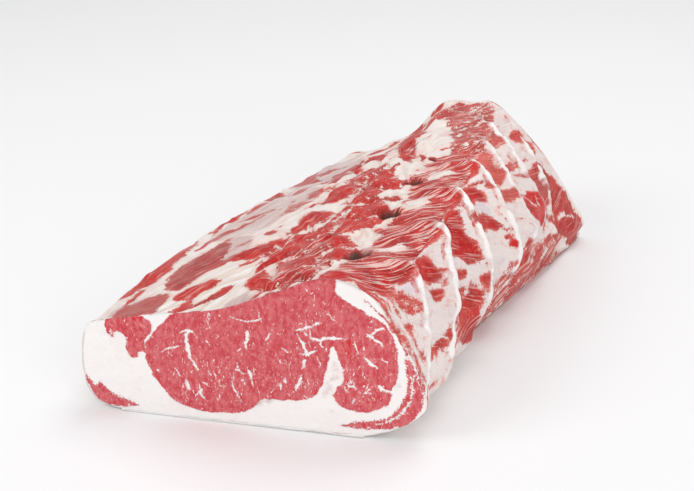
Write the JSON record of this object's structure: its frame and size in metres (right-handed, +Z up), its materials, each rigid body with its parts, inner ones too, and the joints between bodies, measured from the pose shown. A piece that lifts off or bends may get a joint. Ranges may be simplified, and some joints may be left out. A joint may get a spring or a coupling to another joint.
{
  "type": "raw beef rib roast",
  "caption": "Raw boned beef rib roast lying on its fat cap, with a marbled cut face in front, rib beds down one side and a pitted seam along the top.",
  "frame": {"origin": "middle of the box round the roast, on the flat fat cap that it rests on", "axes": "+Z up; -Y towards the near cut face, with the roast running back along +Y; +X towards the side the ribs were cut from"},
  "size_m": [0.2582, 0.3888, 0.1122],
  "materials": {
    "raw_meat": "moist raw lean with white fat"
  },
  "bodies": {
    "root": {"roast": "raw_meat"}
  },
  "joints": []
}
